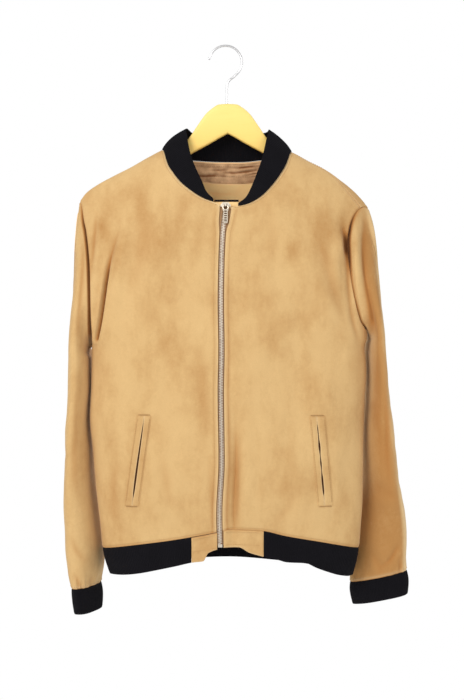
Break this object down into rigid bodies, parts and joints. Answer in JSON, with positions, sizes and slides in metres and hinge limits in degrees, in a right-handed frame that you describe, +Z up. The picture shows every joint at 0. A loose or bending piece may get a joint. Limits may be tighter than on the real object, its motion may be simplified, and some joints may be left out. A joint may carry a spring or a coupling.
{
  "type": "suede bomber jacket on a wooden hanger",
  "caption": "Zipped suede jacket with black ribbed collar, cuffs and hem and slanted welt pockets, hanging on a flat wooden hanger.",
  "frame": {"origin": "inner top of the hook, where it rests on a rail", "axes": "+Z up, -Y out of the front with the zip, +X to the right as seen from the front"},
  "size_m": [0.5529, 0.1508, 0.9056],
  "materials": {
    "suede": "soft matt nap",
    "rib": "black rib knit",
    "facing": "matt",
    "lining": "soft satin",
    "tape": "woven",
    "metal": "silver",
    "wood": "clear satin"
  },
  "bodies": {
    "jacket": {"front_right": "suede", "front_left": "suede", "back": "suede", "sleeve_right": "suede", "sleeve_left": "suede", "hem_tab_left": "suede", "hem_tab_right": "suede", "pocket_right_inner": "suede", "pocket_right_outer": "suede", "pocket_left_inner": "suede", "pocket_left_outer": "suede", "collar_rib": "rib", "cuff_right": "rib", "cuff_left": "rib", "hem_rib": "rib", "zip_guard_binding": "rib", "back_neck_facing": "facing", "back_lining": "lining", "zip_guard": "lining", "zip_tape_left": "tape", "zip_tape_right": "tape", "zip_chain": "metal", "zip_slider": "metal", "zip_stop_left": "metal", "zip_stop_right": "metal", "zip_box": "metal", "hanger_hook": "metal", "hanger_wood": "wood"},
    "pull": {"zip_pull": "metal"}
  },
  "joints": [
    {"name": "pull_hinge", "type": "hinge", "parent": "jacket", "child": "pull", "pos_m": [-0.00045, -0.05049, -0.25847], "axis": [-1, 0, 0], "range_deg": [0, 170]}
  ]
}
